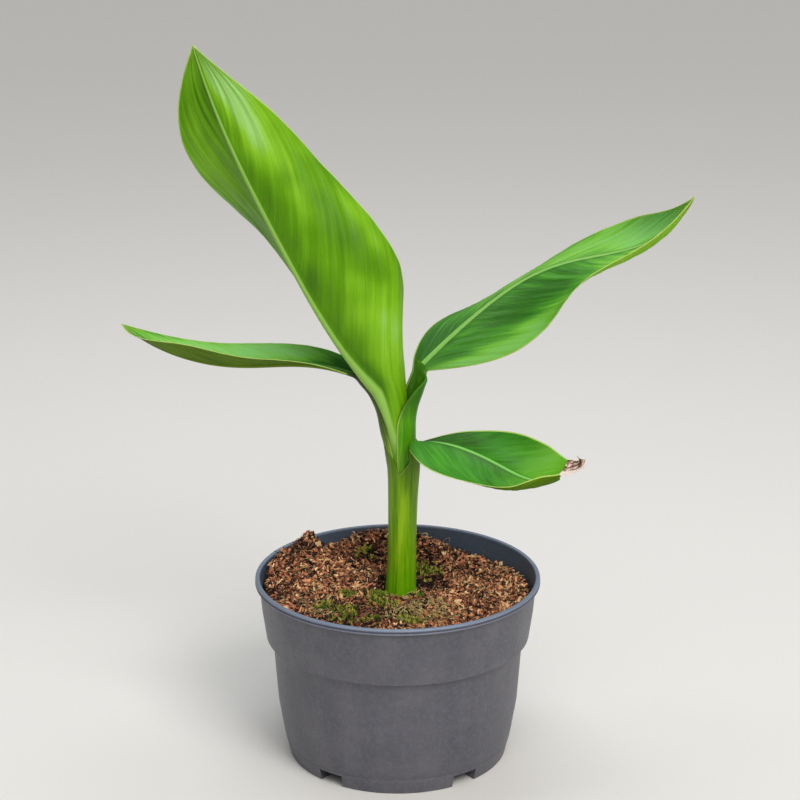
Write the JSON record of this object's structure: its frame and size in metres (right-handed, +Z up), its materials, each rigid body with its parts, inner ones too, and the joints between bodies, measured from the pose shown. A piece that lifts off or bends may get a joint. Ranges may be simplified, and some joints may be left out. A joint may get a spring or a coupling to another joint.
{
  "type": "potted young banana plant",
  "caption": "Young banana plant with a layered green pseudostem and broad leaves, growing in a round plastic nursery pot filled with peat.",
  "frame": {"origin": "centre of the pot's foot, on the surface the pot stands on", "axes": "+Z up along the pot's axis; the tall leaf and the left leaf lean to -X, the upper right leaf to +X, and the front of the plant faces -Y"},
  "size_m": [0.2541, 0.13, 0.3213],
  "materials": {
    "pot_plastic": "satin",
    "peat": "matte",
    "stem": "satin",
    "young_leaf": "satin",
    "grown_leaf": "satin",
    "dry_leaf": "matte"
  },
  "bodies": {
    "root": {"pot": "pot_plastic", "soil": "peat", "pseudostem": "stem", "petiole_tall": "stem", "petiole_right": "stem", "petiole_left": "stem", "petiole_low": "stem", "leaf_tall": "young_leaf", "leaf_left": "grown_leaf", "leaf_right": "grown_leaf", "leaf_low": "grown_leaf", "dry_tip": "dry_leaf"}
  },
  "joints": []
}
